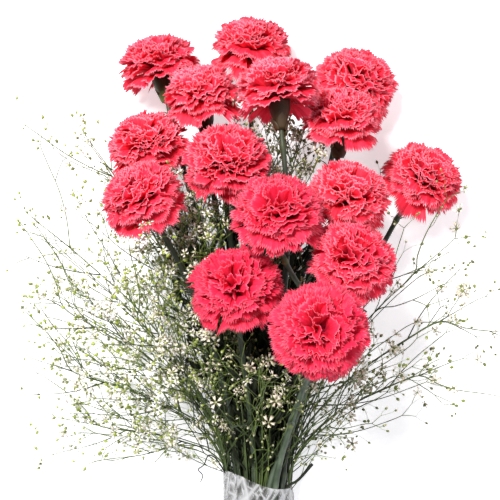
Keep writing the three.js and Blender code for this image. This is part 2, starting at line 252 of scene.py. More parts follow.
class Finish:
    """A material under construction."""

    def __init__(self, name, roughness, **fixed):
        self.material = bpy.data.materials.new(name)
        self.material.use_nodes = True
        self.nodes = self.material.node_tree.nodes
        self.links = self.material.node_tree.links
        self.shader = self.nodes["Principled BSDF"]
        self.shader.inputs["Roughness"].default_value = roughness
        for socket_name, value in fixed.items():
            self.shader.inputs[socket_name.replace("_", " ")].default_value = value

    def growth(self, veins, mottle):
        group = self.nodes.new("ShaderNodeGroup")
        group.node_tree = GROWTH
        group.inputs["Vein Count"].default_value = veins
        group.inputs["Mottle Scale"].default_value = mottle
        return group.outputs

    def ramp(self, value, stops):
        """A colour for each level of a mask. Stops are (level, (r, g, b))."""
        node = self.nodes.new("ShaderNodeValToRGB")
        steps = node.color_ramp.elements
        while len(steps) < len(stops):
            steps.new(0.5)
        for step, (level, colour) in zip(steps, stops):
            step.position = level
            step.color = (*colour, 1)
        self.links.new(value, node.inputs["Fac"])
        return node.outputs["Color"]

    def mask(self, value, low, high, start, end):
        """Start where a value is low, and end where it is high."""
        node = self.nodes.new("ShaderNodeMapRange")
        levels = {"From Min": low, "From Max": high, "To Min": start, "To Max": end}
        for name, level in levels.items():
            node.inputs[name].default_value = level
        self.links.new(value, node.inputs["Value"])
        return node.outputs["Result"]

    def tint(self, body, colour, value, low, high, most):
        """A colour over the body, none where a value is low and most where it is high."""
        node = self.nodes.new("ShaderNodeMix")
        node.data_type = "RGBA"
        share, first, second = (node.inputs[i] for i in (0, 6, 7))  # for colours
        self.links.new(self.mask(value, low, high, 0.0, most), share)
        self.links.new(body, first)
        second.default_value = (*colour, 1)
        return node.outputs[2]

    def higher(self, first, second):
        node = self.nodes.new("ShaderNodeMath")
        node.operation = "MAXIMUM"
        self.links.new(first, node.inputs[0])
        self.links.new(second, node.inputs[1])
        return node.outputs["Value"]

    def bump(self, height, distance, strength):
        node = self.nodes.new("ShaderNodeBump")
        node.inputs["Distance"].default_value = distance
        node.inputs["Strength"].default_value = strength
        self.links.new(height, node.inputs["Height"])
        self.links.new(node.outputs["Normal"], self.shader.inputs["Normal"])

    def colour(self, value):
        self.links.new(value, self.shader.inputs["Base Color"])

    def drive(self, name, value):
        self.links.new(value, self.shader.inputs[name])


def natural(name, roughness, veins, mottle, along, stops, tints, bump=None, **fixed):
    """The look of something that grew: a ramp of colours by one mask, tints over it as (colour,
    mask, low, high, most), and a bump as (mask, millimetres, strength)."""
    finish = Finish(name, roughness, **fixed)
    growth = finish.growth(veins, mottle)
    body = finish.ramp(growth[along], stops)
    for colour, mask, low, high, most in tints:
        body = finish.tint(body, colour, growth[mask], low, high, most)
    finish.colour(body)
    if bump:
        mask, distance, strength = bump
        finish.bump(growth[mask], distance * MM, strength)
    return finish.material


def petal_finish(name, claw, blade, edge, vein):
    """Coral pink with fine veins. It is dark towards the claw, which is painted shade deep in the
    bloom, and paler towards a fringed edge, partly the petal's own colour and partly painted
    highlight. Where Own is high it is a darker magenta: painted shade on the blooms that lie in
    shade, over a random tone from petal to petal.
    """
    return natural(
        name, 0.6, 34, 90, "Along", [(0.45, claw), (0.8, blade), (0.94, blade), (1.0, edge)],
        [(vein, "Veins", 0.48, 0.7, 0.3), ((0.68, 0.014, 0.066), "Own", 0.1, 1.0, 0.8),
         ((0.8, 0.008, 0.03), "Mottle", 0.5, 0.75, 0.3)],
        ("Veins", 0.3, 0.6), Subsurface_Weight=0.1, Subsurface_Scale=0.002,
        Subsurface_Radius=(1.0, 0.2, 0.25), Specular_IOR_Level=0.2)


def film_finish():
    """Clear film, paler, cloudier and duller near its creases: partly the milky creased film and
    partly painted highlights along the crinkles. Along and Across are how far a point is from its
    large and its small creases."""
    finish = Finish("film", 0.2)
    growth = finish.growth(veins=40, mottle=120)
    coarse = finish.mask(growth["Along"], 0.0, 0.5, 1.0, 0.0)
    fine = finish.mask(growth["Across"], 0.0, 0.4, 1.0, 0.0)
    both = finish.higher(coarse, fine)
    finish.colour(finish.ramp(both, [(0.0, (0.2, 0.2, 0.2)), (1.0, (0.62, 0.63, 0.65))]))
    milky_and_highlit = finish.higher(both, finish.mask(growth["Mottle"], 0.46, 0.62, 0.0, 0.7))
    finish.drive("Alpha", finish.mask(milky_and_highlit, 0.0, 1.0, 0.1, 0.68))
    finish.drive("Roughness", finish.mask(both, 0.0, 1.0, 0.12, 0.4))
    finish.bump(growth["Mottle"], 0.4 * MM, 0.6)
    return finish.material


# Both sides: painted shade in the dark claws and painted highlight in the pale edges.
PETAL = petal_finish("petal", claw=(0.35, 0.0, 0.004), blade=(0.92, 0.024, 0.056),
                     edge=(1.0, 0.27, 0.35), vein=(1.0, 0.1, 0.16))
PETAL_BACK = petal_finish("petal_back", claw=(0.45, 0.005, 0.015), blade=(0.88, 0.04, 0.09),
                          edge=(1.0, 0.28, 0.37), vein=(1.0, 0.16, 0.22))
# A dark olive cup, yellow-green at its foot, with fine ribs. Some are a little brown at random, and
# the cups of the shaded flowers are painted dark brown as shade.
CALYX = natural(
    "calyx", 0.5, 26, 160, "Along",
    [(0.0, (0.11, 0.13, 0.025)), (0.25, (0.055, 0.075, 0.015)), (0.7, (0.022, 0.032, 0.01)),
     (1.0, (0.03, 0.026, 0.012))],
    [((0.075, 0.08, 0.022), "Veins", 0.4, 0.65, 0.45), ((0.04, 0.018, 0.01), "Own", 0.2, 1.0, 0.9)],
    ("Veins", 0.3, 0.6), Specular_IOR_Level=0.25)
# Grey-green under a waxy bloom, dark where Own is low, which is painted shade on the stems that leave
# the film low down and on those of the shaded flowers, and a random tone on the leaves. Across marks
# the joints, which are yellower.
STEM = natural(
    "stem", 0.5, 9, 70, "Mottle",
    [(0.3, (0.04, 0.06, 0.035)), (0.55, (0.068, 0.096, 0.062)), (0.75, (0.12, 0.155, 0.11))],
    [((0.17, 0.2, 0.05), "Across", 0.3, 0.9, 0.8), ((0.012, 0.018, 0.009), "Own", 0.75, 0.1, 0.85),
     ((0.05, 0.065, 0.02), "Along", 0.93, 1.0, 0.5)],
    ("Veins", 0.15, 0.5))
# The pale pith of a cut stem.
CUT = natural("cut", 0.7, 9, 900, "Mottle", [(0.35, (0.33, 0.36, 0.16)), (0.65, (0.62, 0.64, 0.4))],
            [], ("Mottle", 0.2, 1.0))
# Thin green stalks, from dark at their feet to bright at the tips; the dark is partly older growth
# and partly painted shade in the heart of the bunch.
STALK = natural(
    "stalk", 0.5, 6, 60, "Along",
    [(0.0, (0.02, 0.032, 0.01)), (0.4, (0.045, 0.075, 0.016)), (0.75, (0.13, 0.19, 0.03)),
     (1.0, (0.24, 0.32, 0.07))],
    [((0.11, 0.16, 0.025), "Mottle", 0.45, 0.7, 0.4)])
# Green buds, some brownish and dark, partly at random and partly as painted shade in the heart of the
# bunch, and some yellow-green, whitish at the tip.
BUD = natural(
    "bud", 0.5, 8, 50, "Own",
    [(0.0, (0.05, 0.045, 0.018)), (0.3, (0.09, 0.11, 0.022)), (0.6, (0.2, 0.26, 0.03)),
     (1.0, (0.32, 0.4, 0.055))],
    [((0.66, 0.64, 0.42), "Along", 0.6, 0.95, 0.7)])
# Small flowers, from a dull pinkish cream to white, greener near the middle. The dull ones are partly
# a random tone and partly painted shade in the heart of the bunch.
FLORET = natural(
    "floret", 0.6, 6, 50, "Own",
    [(0.0, (0.5, 0.4, 0.3)), (0.4, (0.78, 0.7, 0.56)), (0.75, (0.93, 0.9, 0.8)),
     (1.0, (0.97, 0.97, 0.93))],
    [((0.5, 0.5, 0.12), "Along", 0.45, 0.1, 0.75)])
# Narrow leaves, near black and a little brown in places: painted shade that fills the heart of the
# bunch. The dark old ends at the film's mouth take this finish too.
BLADE = natural(
    "blade", 0.6, 8, 30, "Mottle",
    [(0.3, (0.006, 0.008, 0.004)), (0.6, (0.012, 0.017, 0.006)), (0.8, (0.03, 0.038, 0.01))],
    [], ("Veins", 0.2, 0.5), Specular_IOR_Level=0.25)
FILM = film_finish()
# Tan rubber, a little darker from one turn to the next.
RUBBER = natural("rubber", 0.6, 20, 300, "Own", [(0.0, (0.5, 0.3, 0.13)), (1.0, (0.62, 0.41, 0.2))],
               [((0.42, 0.25, 0.1), "Mottle", 0.4, 0.7, 0.3)], ("Mottle", 0.1, 0.5))

# ---------------- where the solids are

CARNATIONS = sorted({name.rsplit("_", 1)[0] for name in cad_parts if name.startswith("carnation")})
SPRAYS = sorted(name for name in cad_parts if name.startswith("babys_breath_"))
BLOOM_DRAWS, CALYX_DRAWS, STEM_DRAWS, SPRAY_DRAWS = 100, 200, 300, 400  # seeds, added to a number
LEAF_LEVEL = 0.4 * MM  # the least height above the table of leaves and petals
TWIG_LEVEL = 2 * MM
STALK_LEVEL = 3 * MM


def number(name):
    """A flower's or a spray's own number, which ends its name."""
    return int(name.rsplit("_", 1)[1])


def places(node):
    """The places of a node's corners, each one once."""
    return np.unique(np.round(corners(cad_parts[node].data), 6), axis=0)


def bones(node, reach):
    """The middles of a rod's rings, which are groups of corners closer than reach, and which of
    them are joined by an edge."""
    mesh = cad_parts[node].data
    points, same = np.unique(np.round(corners(mesh), 6), axis=0, return_inverse=True)
    same = same.ravel()
    near = np.linalg.norm(points[:, None] - points[None], axis=2) < reach
    group = np.arange(len(points))
    while True:
        joined = np.where(near, group[None, :], len(points)).min(axis=1)
        if (joined == group).all():
            break
        group = joined
    labels, group = np.unique(group, return_inverse=True)
    group = group.ravel()
    middles = np.array([points[group == i].mean(axis=0) for i in range(len(labels))])
    joins = {i: set() for i in range(len(labels))}
    for edge in mesh.edges:
        a, b = (group[same[i]] for i in edge.vertices)
        if a != b:
            joins[a].add(b)
            joins[b].add(a)
    return middles, joins


def limbs(node, reach):
    """A rod's branches as rows of points, the longest first. A branch starts on an earlier one."""
    middles, joins = bones(node, reach)
    root = int(middles[:, 1].argmin())
    cost, back, open_ends = {root: 0.0}, {}, {root}
    while open_ends:
        here = min(open_ends, key=cost.get)
        open_ends.remove(here)
        for there in joins[here]:
            total = cost[here] + np.linalg.norm(middles[there] - middles[here])
            if total < cost.get(there, math.inf):
                cost[there], back[there] = total, here
                open_ends.add(there)
    ends = sorted((i for i in cost if i not in back.values()), key=cost.get, reverse=True)
    used, rows = set(), []
    for end in ends:
        row = [end]
        while row[-1] not in used and row[-1] != root:
            row.append(back[row[-1]])
        used.update(row)
        rows.append(middles[row[::-1]])
    return rows


def smooth(row, pitch):
    """A smooth curve through a row of points, with a point about every pitch."""
    ends = np.vstack([2 * row[0] - row[1], row, 2 * row[-1] - row[-2]])
    made = []
    for i in range(1, len(row)):
        a, b, c, d = ends[i - 1 : i + 3]
        steps = max(1, round(np.linalg.norm(c - b) / pitch))
        for share in np.arange(steps) / steps:
            made.append(0.5 * (2 * b + (c - a) * share + (2 * a - 5 * b + 4 * c - d) * share**2
                               + (3 * b - a - 3 * c + d) * share**3))
    made.append(row[-1])
    return np.array(made)


class Head:
    """Where a carnation's bloom sits: its widest level's middle, its direction and its radius."""

    def __init__(self, name):
        bloom = places(name + "_bloom")
        middle = places(name + "_calyx").mean(axis=0)
        self.name = name
        self.axis = unit(bloom.mean(axis=0) - middle)
        along = (bloom - middle) @ self.axis
        self.seat = middle + self.axis * (along.max() - CROWN)
        self.radius = np.linalg.norm(np.cross(bloom - middle, self.axis), axis=1).max()
        self.turn = facing(self.axis)
        self.number = number(name)

    def place(self, points):
        return points @ self.turn.T + self.seat


CROWN = 26 * MM  # the bloom's top above its seat
DOME_MIDDLE = 7 * MM  # the middle of its ellipsoid, and half the ellipsoid's depth
DOME_HALF = 19 * MM
CALYX_TOP = -6 * MM
CALYX_LENGTH = 27 * MM
CALYX_RADIUS = 9.5 * MM
HEADS = [Head(name) for name in CARNATIONS]

# ---------------- carnation blooms

PETAL_THICKNESS = 0.2 * MM
# The guard petals: how many each whorl has, and their tips' height above the seat in millimetres.
GUARD_WHORLS = [(6, -15), (7, -7), (8, 0)]
CROWN_PETALS = 64
# Painted shade: how much darker and more magenta the pink is on the flowers that lie in shade,
# against the others.
BLOOM_SHADE = {1: 0.2, 8: 0.4, 9: 0.3, 10: 0.8, 13: 0.5, 14: 1.0, 15: 0.9}
LEAST_BLOOM_SHADE = 0.1
GUARD_FRINGE = 0.075  # the teeth's depth, as a share of the petal's length
CROWN_FRINGE = 0.1
CROWN_SHARE = 0.88  # the crown's radius against the guard petals'
GOLDEN_TURN = math.pi * (3 - math.sqrt(5))


class Blank:
    """A flat petal: across from -1 to 1, along from claw to fringe, and its faces."""

    def __init__(self, columns, rows):
        deselect()
        bpy.ops.mesh.primitive_grid_add(x_subdivisions=columns, y_subdivisions=rows, size=2)
        bpy.ops.object.mode_set(mode="EDIT")
        bpy.ops.transform.resize(value=(1, 0.5, 1))
        bpy.ops.transform.translate(value=(0, 0.5, 0))
        bpy.ops.object.mode_set(mode="OBJECT")
        points, self.faces = taken(bpy.context.object)
        self.across = points[:, 0]
        self.along = 1 - (1 - points[:, 1]) ** 1.35
        self.columns = columns
        self.column = np.rint((self.across + 1) / 2 * columns).astype(int)

    def fringe(self, rng, depth):
        """How far each corner is drawn out along the petal: small pointed teeth, some deeper."""
        count = self.columns + 1
        teeth = rng.uniform(0.3, 1.0, count) * np.where(np.arange(count) % 2, -1, 1)
        lobes = np.sin(np.linspace(0, rng.uniform(8, 16), count) + rng.uniform(0, 6))
        return depth * (teeth + 0.6 * lobes)[self.column] * smoothstep(self.along, 0.7, 1.0)


GUARD = Blank(44, 6)
FRILL = Blank(26, 5)


def sheet(rng, blank, foot, knee, tip, roll, spread, depth, waves, curl):
    """A petal as points: the blank is fanned and fringed, bent along a line from foot by knee to
    tip, turned about that line by roll, and ruffled. Waves are (height, count across) pairs."""
    along, across = blank.along, blank.across
    length = np.linalg.norm(knee - foot) + np.linalg.norm(tip - knee)
    reach = along * (1 + blank.fringe(rng, depth))
    angle = across * spread * (0.2 + 0.8 * smoothstep(along, 0.05, 0.6))
    share = (reach * np.cos(angle))[:, None]
    side = length * reach * np.sin(angle)

    line = (1 - share) ** 2 * foot + 2 * (1 - share) * share * knee + share**2 * tip
    slope = (1 - share) * (knee - foot) + share * (tip - knee)
    slope /= np.linalg.norm(slope, axis=1)[:, None]
    rim = np.cross(UP, unit(tip - foot + (1e-6, 0, 0)))
    rim = turning(unit(tip - foot), roll) @ unit(rim)
    rim = rim - slope * (slope @ rim)[:, None]
    rim /= np.linalg.norm(rim, axis=1)[:, None]
    upper = np.cross(slope, rim)

    rise = np.zeros(len(along))
    for height, count in waves:
        rise += height * MM * np.sin(across * count + rng.uniform(0, 2 * math.pi)) * along**1.6
    rise += 0.6 * MM * np.sin(across * rng.uniform(18, 26)) * along**5
    rise -= curl * MM * along**4
    return line + rim * side[:, None] + upper * rise[:, None]


def held(points, radius, limit):
    """Points drawn in to the bloom's outline, which is a dome above and a saucer below."""
    out = np.hypot(points[:, 0], points[:, 1])
    level = points[:, 2] - DOME_MIDDLE
    ratio = np.hypot(out / radius, np.maximum(level, 0) / DOME_HALF) / limit
    shrink = (1 + 0.3 * np.maximum(ratio - 1, 0)) / np.maximum(ratio, 1)
    middle = DOME_MIDDLE + np.where(level > 0, level * shrink, level)
    return np.column_stack([points[:, 0] * shrink, points[:, 1] * shrink, middle])


def drawn(rng, *ranges):
    """Waves, each with a height and a count between two limits."""
    return [(rng.uniform(a, b), rng.uniform(c, d)) for a, b, c, d in ranges]


def outward(bearing):
    return np.array([math.cos(bearing), math.sin(bearing), 0])


def guard_petal(rng, radius, height, bearing):
    """A wide outer petal that spreads and droops, with a smooth face and a wavy edge."""
    away = outward(bearing)
    tip = away * radius * rng.uniform(0.82, 0.98) + UP * (height + rng.uniform(-5, 4)) * MM
    knee = away * radius * rng.uniform(0.4, 0.55) + UP * (height + rng.uniform(7, 12)) * MM
    foot = away * 2 * MM - UP * 9 * MM
    waves = drawn(rng, (1.5, 3.6, 2.2, 4), (0.6, 1.6, 6, 10))
    return sheet(rng, GUARD, foot, knee, tip, rng.uniform(-0.3, 0.3), rng.uniform(0.4, 0.56),
                 GUARD_FRINGE, waves, rng.uniform(-1, 3.5))


def crown_petal(rng, radius, share, bearing):
    """A crumpled inner petal that ends at the dome, lying like the guard petals at the outside and
    any way round in the middle. Share runs from 0 at the outside to 1 at the top."""
    lift = math.asin(blend(-0.02, 0.99, share**0.85))
    away = outward(bearing)
    size = rng.uniform(0.84, 1.02)
    tip = away * CROWN_SHARE * radius * math.cos(lift) * size
    tip = tip + UP * (DOME_MIDDLE + DOME_HALF * math.sin(lift) * size)
    foot = away * rng.uniform(0, 4) * MM - UP * rng.uniform(2, 8) * MM
    knee = blend(foot, tip, 0.6) + UP * rng.uniform(0, 5) * MM + rng.normal(size=3) * MM
    roll = rng.uniform(-1, 1) * blend(0.25, 1.3, share)
    waves = drawn(rng, (1.8, 3.8, 2.2, 4.2), (0.9, 2.0, 5, 8), (0.3, 0.8, 11, 15))
    return sheet(rng, FRILL, foot, knee, tip, roll, rng.uniform(0.4, 0.6), CROWN_FRINGE,
                 waves, rng.uniform(0, 7) * rng.choice([1, 1, -0.5]))


def bloom(head):
    """A whole bloom: guard petals in whorls and a dense crown, none of it through the table."""
    rng = np.random.default_rng(BLOOM_DRAWS + head.number)
    build = Build()
    tone = BLOOM_SHADE.get(head.number, LEAST_BLOOM_SHADE)

    def add(points, blank, limit):
        points = head.place(held(points, head.radius, limit))
        lift(points, (0.3 + 0.6 * rng.uniform()) * MM)
        # Own: a random tone from petal to petal, with painted shade on the shaded blooms.
        own = np.full(len(points), 0.3 * rng.uniform() + 0.7 * tone)
        build.add(points, blank.faces, np.column_stack([blank.along, (blank.across + 1) / 2, own]))

    bearing = rng.uniform(0, 6)
    for count, height in GUARD_WHORLS:
        bearing += GOLDEN_TURN
        for _ in range(count):
            bearing += 2 * math.pi / count * rng.uniform(0.85, 1.15)
            add(guard_petal(rng, head.radius, height, bearing), GUARD, 0.99)
    for i in range(CROWN_PETALS):
        bearing += GOLDEN_TURN + rng.uniform(-0.2, 0.2)
        points = crown_petal(rng, head.radius, i / (CROWN_PETALS - 1), bearing)
        add(points, FRILL, rng.uniform(0.97, 1.04))
    piece = build.piece(head.name + "_petals", [PETAL_BACK, PETAL])
    apply(piece, "SOLIDIFY", thickness=PETAL_THICKNESS, offset=0, material_offset=1,
          material_offset_rim=1)
    settle(piece, "petal", head.name + "_bloom")


for head in HEADS:
    bloom(head)

# ---------------- calyxes


CALYX_FOOT = 0.3  # the foot's radius, as a share of the cup's
# The cup's radius and height at each level, as shares of its whole radius and length.
CALYX_LEVELS = [(0.3, 0.04), (0.4, 0.12), (0.62, 0.28), (0.84, 0.46), (0.96, 0.66), (1.0, 0.84),
                (1.04, 1.0)]
TEETH = 5
TOOTH_HEIGHT = 3.2 * MM
HOLLOW = 0.3 * CALYX_LENGTH  # how deep the cup is open at its top


def calyx_model():
    """A bell-shaped cup with teeth, modelled from a ring that is drawn out level by level."""
    deselect()
    foot = CALYX_FOOT * CALYX_RADIUS
    bpy.ops.mesh.primitive_circle_add(vertices=20, radius=foot, fill_type="NGON")
    piece = bpy.context.object
    bpy.ops.object.mode_set(mode="EDIT")
    bpy.ops.mesh.flip_normals()
    radius, height = CALYX_FOOT, 0.0
    for new_radius, new_height in CALYX_LEVELS:
        rise = (new_height - height) * CALYX_LENGTH
        bpy.ops.mesh.extrude_region_move(TRANSFORM_OT_translate={"value": (0, 0, rise)})
        scale = new_radius / radius
        bpy.ops.transform.resize(value=(scale, scale, 1))
        radius, height = new_radius, new_height
    bpy.ops.mesh.extrude_region_move(TRANSFORM_OT_translate={"value": (0, 0, -HOLLOW)})
    bpy.ops.transform.resize(value=(0.8, 0.8, 1))
    bpy.ops.object.mode_set(mode="OBJECT")
    for corner in piece.data.vertices:
        x, y, z = corner.co
        if z > 0.95 * CALYX_LENGTH:
            corner.co.z += math.cos(TEETH * math.atan2(y, x)) * TOOTH_HEIGHT
    apply(piece, "SUBSURF", levels=1, render_levels=1)
    return piece


def bract_bend(across, up):
    """A pointed scale that hugs the foot of a calyx."""
    bearing = across * 1.05 * (1 - up**2.2)
    radius = (0.4 + 0.42 * up**0.8) * CALYX_RADIUS + 0.5 * MM
    return radius * math.cos(bearing), radius * math.sin(bearing), up * 0.5 * CALYX_LENGTH


def calyx_shape():
    cup, cup_faces = taken(calyx_model())
    scale, scale_faces = bent_grid(6, 6, 0.35 * MM, bract_bend)
    return [(cup, cup_faces)] + [
        (scale @ turning(UP, math.radians(bearing)).T * (1, 1, size) + UP * drop * MM, scale_faces)
        for bearing, size, drop in ((18, 1.0, 0), (198, 1.0, 0), (108, 0.8, -1), (288, 0.8, -1))
    ]


CALYX_SHAPE = calyx_shape()
SHADED = {3, 4, 6, 8, 9, 11, 13}  # the flowers that lie in shade: painted shade makes their cups dark brown and their stems dark
for head in HEADS:
    rng = np.random.default_rng(CALYX_DRAWS + head.number)
    build = Build()
    spin = turning(UP, rng.uniform(0, 6))
    for points, faces in CALYX_SHAPE:
        bearing = np.arctan2(points[:, 1], points[:, 0]) / (2 * math.pi) + 0.5
        # Painted shade: the cups of the shaded flowers are fully dark brown; the others are a little
        # brown at random.
        brown_and_shade = 1.0 if head.number in SHADED else 0.5 * rng.uniform()
        marks = [np.clip(points[:, 2] / CALYX_LENGTH, 0, 1), bearing, np.full(len(points), brown_and_shade)]
        seated = points @ spin.T + UP * (CALYX_TOP - CALYX_LENGTH)
        build.add(head.place(seated), faces, np.column_stack(marks))
    settle(build.piece(head.name + "_cup", [CALYX]), "calyx", head.name + "_calyx")

# ---------------- stems and their leaves


def tube(points, radii, sides):
    """A tapering tube round a row of points, with both ends closed."""
    along = np.gradient(points, axis=0)
    along /= np.linalg.norm(along, axis=1)[:, None]
    side = unit(np.cross(along[0], UP if abs(along[0][2]) < 0.9 else np.array([1.0, 0, 0])))
    turns = np.linspace(0, 2 * math.pi, sides, endpoint=False)
    rings = []
    for point, way, radius in zip(points, along, radii):
        side = unit(side - way * (side @ way))
        over = np.cross(way, side)
        rings.append(point + radius * (np.outer(np.cos(turns), side) + np.outer(np.sin(turns), over)))
    faces = [
        (i + j, i + (j + 1) % sides, i + sides + (j + 1) % sides, i + sides + j)
        for i in range(0, (len(points) - 1) * sides, sides) for j in range(sides)
    ]
    last = (len(points) - 1) * sides
    faces.append(tuple(range(sides))[::-1])
    faces.append(tuple(last + j for j in range(sides)))
    return np.concatenate(rings), faces


STEM_RADIUS = 2.5 * MM
STEM_SIDES = 12
STEM_PITCH = 4 * MM
JOINT_GAPS = [16, 34, 62, 80, 84, 84, 84]  # down from the calyx, in millimetres
LEAF_LENGTHS = [9, 15, 24, 0, 0, 0, 0]


def leaf_bend(across, out):
    """A narrow pointed leaf, one unit long, that arches out from the stem."""
    width = 0.13 * (1 - out**1.6) + 0.004
    return across * width, 0.75 * out**1.5, out * 0.72 - 0.3 * out**3 + 0.05 * across**2


LEAF, LEAF_FACES = bent_grid(4, 9, 0.025, leaf_bend)


def carnation_stem(head):
    """The stem below a bloom: swollen joints, a pair of leaves at the upper ones, a pale cut end."""
    rng = np.random.default_rng(STEM_DRAWS + head.number)
    row = smooth(limbs(head.name + "_stem", 2.6 * MM)[0], STEM_PITCH)
    foot = head.place(np.array([[0, 0, CALYX_TOP - CALYX_LENGTH]]) + UP * 1 * MM)
    row = np.vstack([row, foot])
    steps = np.linalg.norm(np.diff(row, axis=0), axis=1)
    below = steps.sum() - np.concatenate([[0], np.cumsum(steps)])
    joints = np.cumsum(np.array(JOINT_GAPS) * rng.uniform(0.85, 1.15)) * MM
    swell = sum(np.exp(-(((below - joint) / (3.2 * MM)) ** 2)) for joint in joints)
    radii = STEM_RADIUS * blend(1.08, 0.8, np.exp(-below / (90 * MM))) + swell * 0.9 * MM
    build = Build()
    points, faces = tube(row, radii, STEM_SIDES)
    # Painted shade: the lower a stem leaves the film, the darker it is, and the stems of the shaded
    # flowers are darkest.
    lit = 0.0 if head.number in SHADED else float(smoothstep(row[0][2] - AXIS_Z, 2 * MM, 26 * MM))
    marks = np.column_stack([1 - below / below[0], np.clip(swell, 0, 1), below * 0 + lit])
    build.add(points, faces[:-2], np.repeat(marks, STEM_SIDES, axis=0))
    build.add(points[:STEM_SIDES], [tuple(range(STEM_SIDES))[::-1]], (0, 0, rng.uniform()), 1)
    build.add(points[-STEM_SIDES:], [tuple(range(STEM_SIDES))], (1, 0, 0))
    for joint, length in zip(joints, LEAF_LENGTHS):
        at = int(np.abs(below - joint).argmin())
        if not length or row[at][1] < SLEEVE_HIGH.y + 5 * MM:
            continue
        way = unit(row[min(at + 1, len(row) - 1)] - row[at - 1])
        lean = rng.uniform(0, math.pi)
        for half in (0, math.pi):
            leaf = LEAF * length * MM * rng.uniform(0.8, 1.2) + (0, 0.7 * STEM_RADIUS, 0)
            leaf = leaf @ turning(UP, lean + half).T @ facing(way).T + row[at]
            lift(leaf, LEAF_LEVEL)
            along = np.clip(LEAF[:, 1] * 1.2, 0, 1)
            build.add(leaf, LEAF_FACES, marked(along * 0.6 + 0.4, rng.uniform()))
    piece = build.piece(head.name + "_stalk", [STEM, CUT])
    merge(piece)
    settle(piece, "stem", head.name + "_stem")


def merge(piece):
    """Joins corners that lie on each other."""
    select(piece)
    bpy.ops.object.mode_set(mode="EDIT")
    bpy.ops.mesh.select_all(action="SELECT")
    bpy.ops.mesh.remove_doubles(threshold=0.00001)
    bpy.ops.object.mode_set(mode="OBJECT")


for head in HEADS:
    carnation_stem(head)

# ---------------- baby's breath


def bud_model():
    """A tear-shaped bud, one unit long, standing on its stalk."""
    deselect()
    bpy.ops.mesh.primitive_uv_sphere_add(segments=6, ring_count=5, radius=0.5, location=(0, 0, 0.5))
    piece = bpy.context.object
    bpy.ops.object.transform_apply(location=True)
    for corner in piece.data.vertices:
        up = corner.co.z
        waist = 0.7 - 0.35 * smoothstep(up, 0.45, 1.0) - 0.2 * smoothstep(up, 0.5, 0.0)
        corner.co.x *= waist
        corner.co.y *= waist
    return taken(piece)


def floret_petal_model():
    """A petal of an open flower that is one unit across: narrow, notched and a little raised."""
    deselect()
    bpy.ops.mesh.primitive_cone_add(vertices=6, radius1=0.5, depth=0.06, end_fill_type="TRIFAN")
    piece = bpy.context.object
    outline = [(0.04, 0.0), (0.3, 0.085), (0.5, 0.105), (0.45, 0.0), (0.5, -0.105), (0.3, -0.085)]
    rim = [v for v in piece.data.vertices if math.hypot(v.co.x, v.co.y) > 0.1]
    rim.sort(key=lambda v: math.atan2(v.co.y, -v.co.x))
    for corner, (out, aside) in zip(rim, outline[3:] + outline[:3]):
        corner.co = (out, aside, 0.03 + 0.5 * out**2)
    for corner in piece.data.vertices:
        if corner not in rim:
            corner.co = (0.3, 0, corner.co.z * 0.5 + 0.06)
    return taken(piece)


def blade_bend(across, out):
    """A narrow pointed leaf, one unit long, that arches a little."""
    width = 0.085 * math.sin(math.pi * out**0.75) + 0.004
    return across * width, 0.3 * out**2 + 0.02 * abs(across), out - 0.12 * out**2


BUD_SHAPE = bud_model()
FLORET_PETAL = floret_petal_model()
BLADE_SHAPE = bent_grid(2, 7, 0.006, blade_bend)
STALK_SLOT, BUD_SLOT, FLORET_SLOT, BLADE_SLOT = range(4)
SPRAY_RADIUS = 0.95 * MM
COMPANIONS = {"babys_breath_06": 4, "babys_breath_08": 7}  # stalks beside a spray's own
FEW_COMPANIONS = 2  # beside any other spray's
LOW_STALKS = 9  # leafy stalks in the heart of the bunch, for each spray
NECK_SPREAD = 24  # how far from the sleeve's axis they leave it, in millimetres
NECK_DEPTH = 12  # how far inside the mouth that is
FOOT_DEPTH = 48  # and how much further in they start
BLADE_PAIRS = 7
MARGIN = 4 * MM  # how far twigs may end outside the plain solids' box
TWIGS_REACH = 325 * MM  # how far beyond the film twigs may end
LOW_LIMIT = np.array(CAD_BOX[0]) - MARGIN
HIGH_LIMIT = np.array(CAD_BOX[1]) + MARGIN
LOW_LIMIT[1:] = SLEEVE_HIGH.y + MARGIN, STALK_LEVEL
HIGH_LIMIT[1] = SLEEVE_HIGH.y + TWIGS_REACH


def free(point):
    """Whether a point is within the limits and in no bloom."""
    if (point < LOW_LIMIT).any() or (point > HIGH_LIMIT).any():
        return False
    for head in HEADS:
        offset = point - head.seat - head.axis * DOME_MIDDLE
        up = offset @ head.axis
        out = math.sqrt(max(0.0, offset @ offset - up * up))
        if math.hypot(out / head.radius, up / DOME_HALF) < 1.0:
            return False
    return True


def place_in_bunch(point):
    """A point's place across the view, from -1 to 1, and up it from the film, in millimetres."""
    return (point[0] - VIEW_X) / (180 * MM), (point[1] - SLEEVE_HIGH.y) / MM


def sparseness(point):
    """How much wider apart the twigs are at a place: wider to the outside, most of all at the right
    and low down, and close together in front at the left."""
    across, up = place_in_bunch(point)
    outside = smoothstep(abs(across), 0.3, 1.0)
    heart = 1 - smoothstep(abs(across - 0.05), 0.12, 0.32)
    if across > 0:
        low = smoothstep(up, 140, 60) * smoothstep(across, 0.2, 0.5)
        crowd = smoothstep(up, 200, 245) * smoothstep(abs(across - 0.22), 0.34, 0.18)
        return blend(1.6 + 4.2 * outside + 12 * low + 2 * heart, 0.6, crowd)
    high = smoothstep(up, 185, 235) * smoothstep(across, -0.3, -0.55)
    return 1.3 + 4.2 * outside + 2 * smoothstep(up, 60, 20) * outside + 10 * high + 2 * heart


def freshness_and_light(point):
    """How bright and yellow-green a place is: most in front at the left, where the buds are fresh
    lime and the flowers white, and least in the heart, where the dullness is painted shade.
    """
    across = place_in_bunch(point)[0]
    return smoothstep(-across, -0.02, 0.4) + 0.35 * smoothstep(across, 0.2, 0.6)


